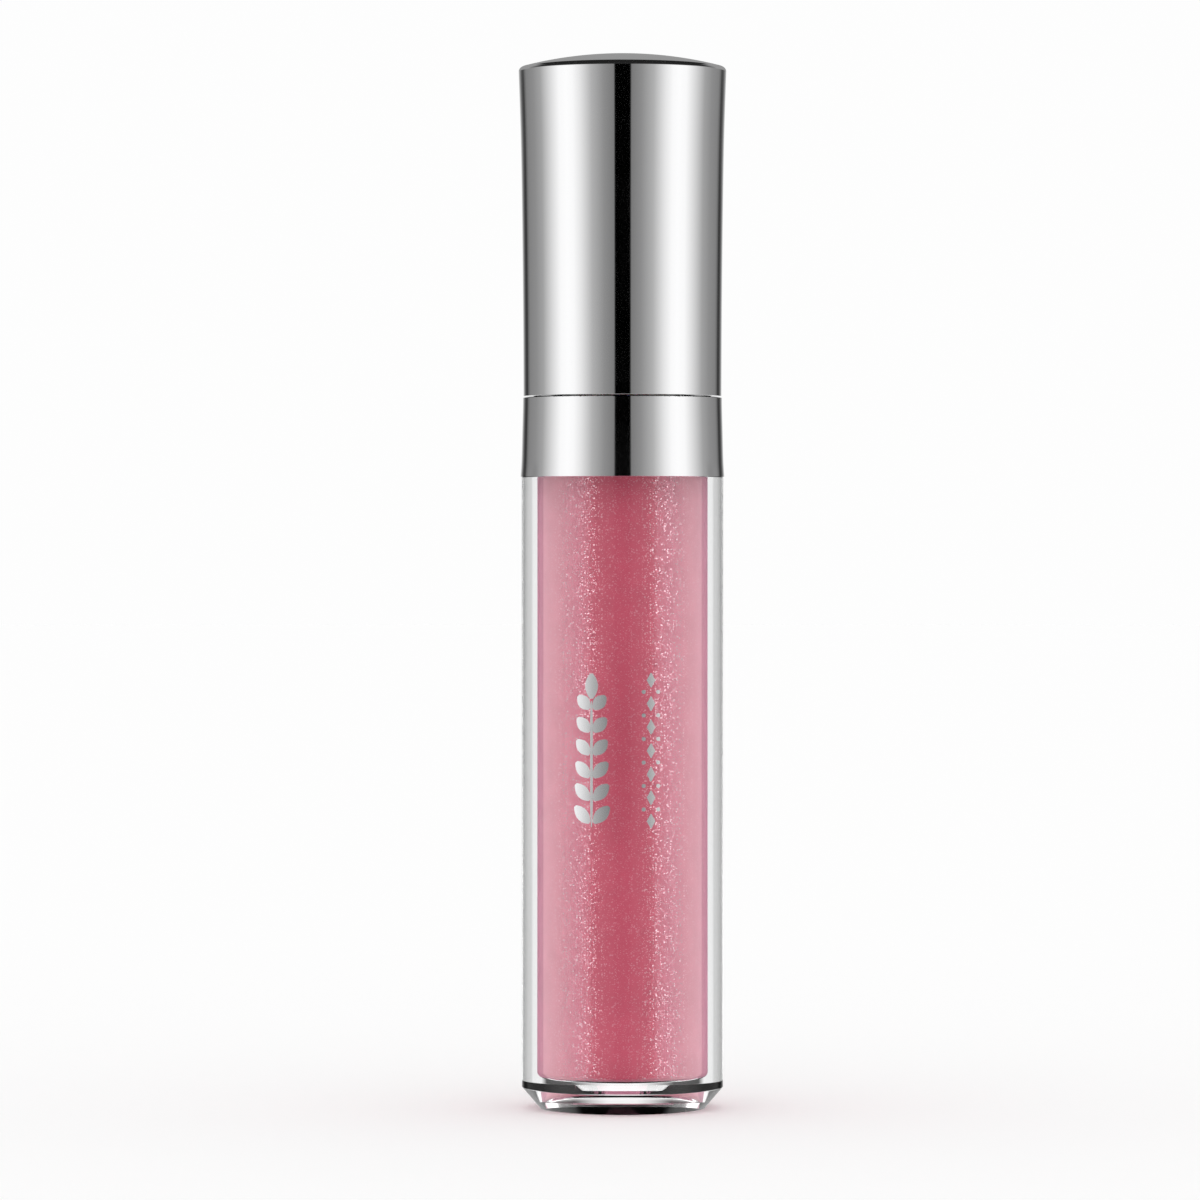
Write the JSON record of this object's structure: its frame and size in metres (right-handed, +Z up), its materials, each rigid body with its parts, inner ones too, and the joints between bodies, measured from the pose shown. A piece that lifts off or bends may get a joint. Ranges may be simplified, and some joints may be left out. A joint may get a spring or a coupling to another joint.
{
  "type": "lip gloss tube",
  "caption": "Round thick-walled clear tube of tinted gloss with a mirror silver collar and a screw cap that carries a rod and a flocked doe-foot tip.",
  "frame": {"origin": "centre of the foot ring, on the surface the tube stands on", "axes": "+Z up along the tube's axis, towards the cap; the decorated front faces -Y"},
  "size_m": [0.0196, 0.0196, 0.0993],
  "materials": {
    "clear_wall": "gloss",
    "clear_rod": "gloss",
    "gloss": "gloss",
    "mirror_silver": "polished",
    "liner_white": "satin",
    "soft_white": "satin",
    "steel": "satin",
    "label_black": "satin",
    "tip_core": "satin",
    "flock": "matte"
  },
  "bodies": {
    "bottle": {"bottle": "clear_wall", "gloss_fill": "gloss", "wiper": "soft_white", "shoulder_collar": "mirror_silver", "base_label": "label_black"},
    "washer": {"sealing_washer": "soft_white"},
    "weight": {"cap_weight": "steel"},
    "cap": {"cap_shell": "mirror_silver", "inner_cap": "liner_white", "applicator_rod": "clear_rod", "tip_core": "tip_core", "tip_flock": "flock"}
  },
  "joints": [
    {"name": "cap_lift", "type": "slide", "parent": "bottle", "child": "washer", "axis": [0, 0, 1], "range_m": [0, 0.075], "deforming": ["wiper", "gloss_fill"]},
    {"name": "thread_rise", "type": "slide", "parent": "washer", "child": "weight", "axis": [0, 0, 1], "range_m": [0, 0.0031]},
    {"name": "cap_turn", "type": "hinge", "parent": "weight", "child": "cap", "pos_m": [0, 0, 0.0672], "axis": [0, 0, 1], "range_deg": [0, 450]}
  ],
  "couplings": [
    {"joint": "thread_rise", "follows": "cap_turn", "m_per_rad": 0.00038197}
  ]
}
